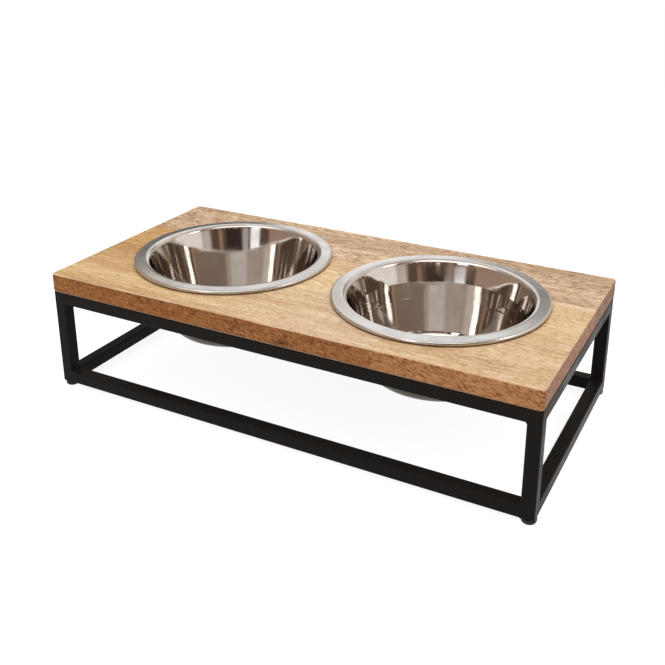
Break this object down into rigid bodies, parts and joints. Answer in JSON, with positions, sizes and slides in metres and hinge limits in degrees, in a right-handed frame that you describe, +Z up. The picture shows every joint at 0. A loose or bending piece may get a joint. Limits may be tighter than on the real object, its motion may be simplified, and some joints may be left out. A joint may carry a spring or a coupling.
{
  "type": "double pet bowl stand",
  "caption": "Low feeding stand for pets: a glued wood top with round holes that hold lift-out steel bowls by their rims, on a welded black square-tube frame with round glides.",
  "frame": {"origin": "on the floor, under the middle of the stand", "axes": "+X along the length to the right as seen from the front, +Y to the back, +Z up"},
  "size_m": [0.51, 0.254, 0.1319],
  "materials": {
    "rear_wood": "oiled, open-pored",
    "middle_wood": "oiled, open-pored",
    "front_left_wood": "oiled, open-pored",
    "front_right_wood": "oiled, open-pored",
    "black_frame": "satin powder coat",
    "glide_plastic": "moulded",
    "screw_steel": "zinc plated",
    "bowl_steel": "polished inside, satin rim"
  },
  "bodies": {
    "stand": {"rear_board": "rear_wood", "middle_board_left": "middle_wood", "middle_board_bridge": "middle_wood", "middle_board_right": "middle_wood", "front_board_left": "front_left_wood", "front_board_right": "front_right_wood", "front_left_leg": "black_frame", "front_right_leg": "black_frame", "rear_left_leg": "black_frame", "rear_right_leg": "black_frame", "front_top_rail": "black_frame", "rear_top_rail": "black_frame", "left_top_rail": "black_frame", "right_top_rail": "black_frame", "front_bottom_rail": "black_frame", "rear_bottom_rail": "black_frame", "left_bottom_rail": "black_frame", "right_bottom_rail": "black_frame", "front_left_tab": "black_frame", "front_middle_tab": "black_frame", "front_right_tab": "black_frame", "rear_left_tab": "black_frame", "rear_middle_tab": "black_frame", "rear_right_tab": "black_frame", "frame_welds": "black_frame", "front_left_glide": "glide_plastic", "front_right_glide": "glide_plastic", "rear_left_glide": "glide_plastic", "rear_right_glide": "glide_plastic", "tab_screws": "screw_steel"},
    "left_bowl": {"left_bowl": "bowl_steel"},
    "right_bowl": {"right_bowl": "bowl_steel"}
  },
  "joints": [
    {"name": "left_bowl_lift", "type": "slide", "parent": "stand", "child": "left_bowl", "axis": [0, 0, 1], "range_m": [0, 0.1]},
    {"name": "right_bowl_lift", "type": "slide", "parent": "stand", "child": "right_bowl", "axis": [0, 0, 1], "range_m": [0, 0.1]}
  ]
}
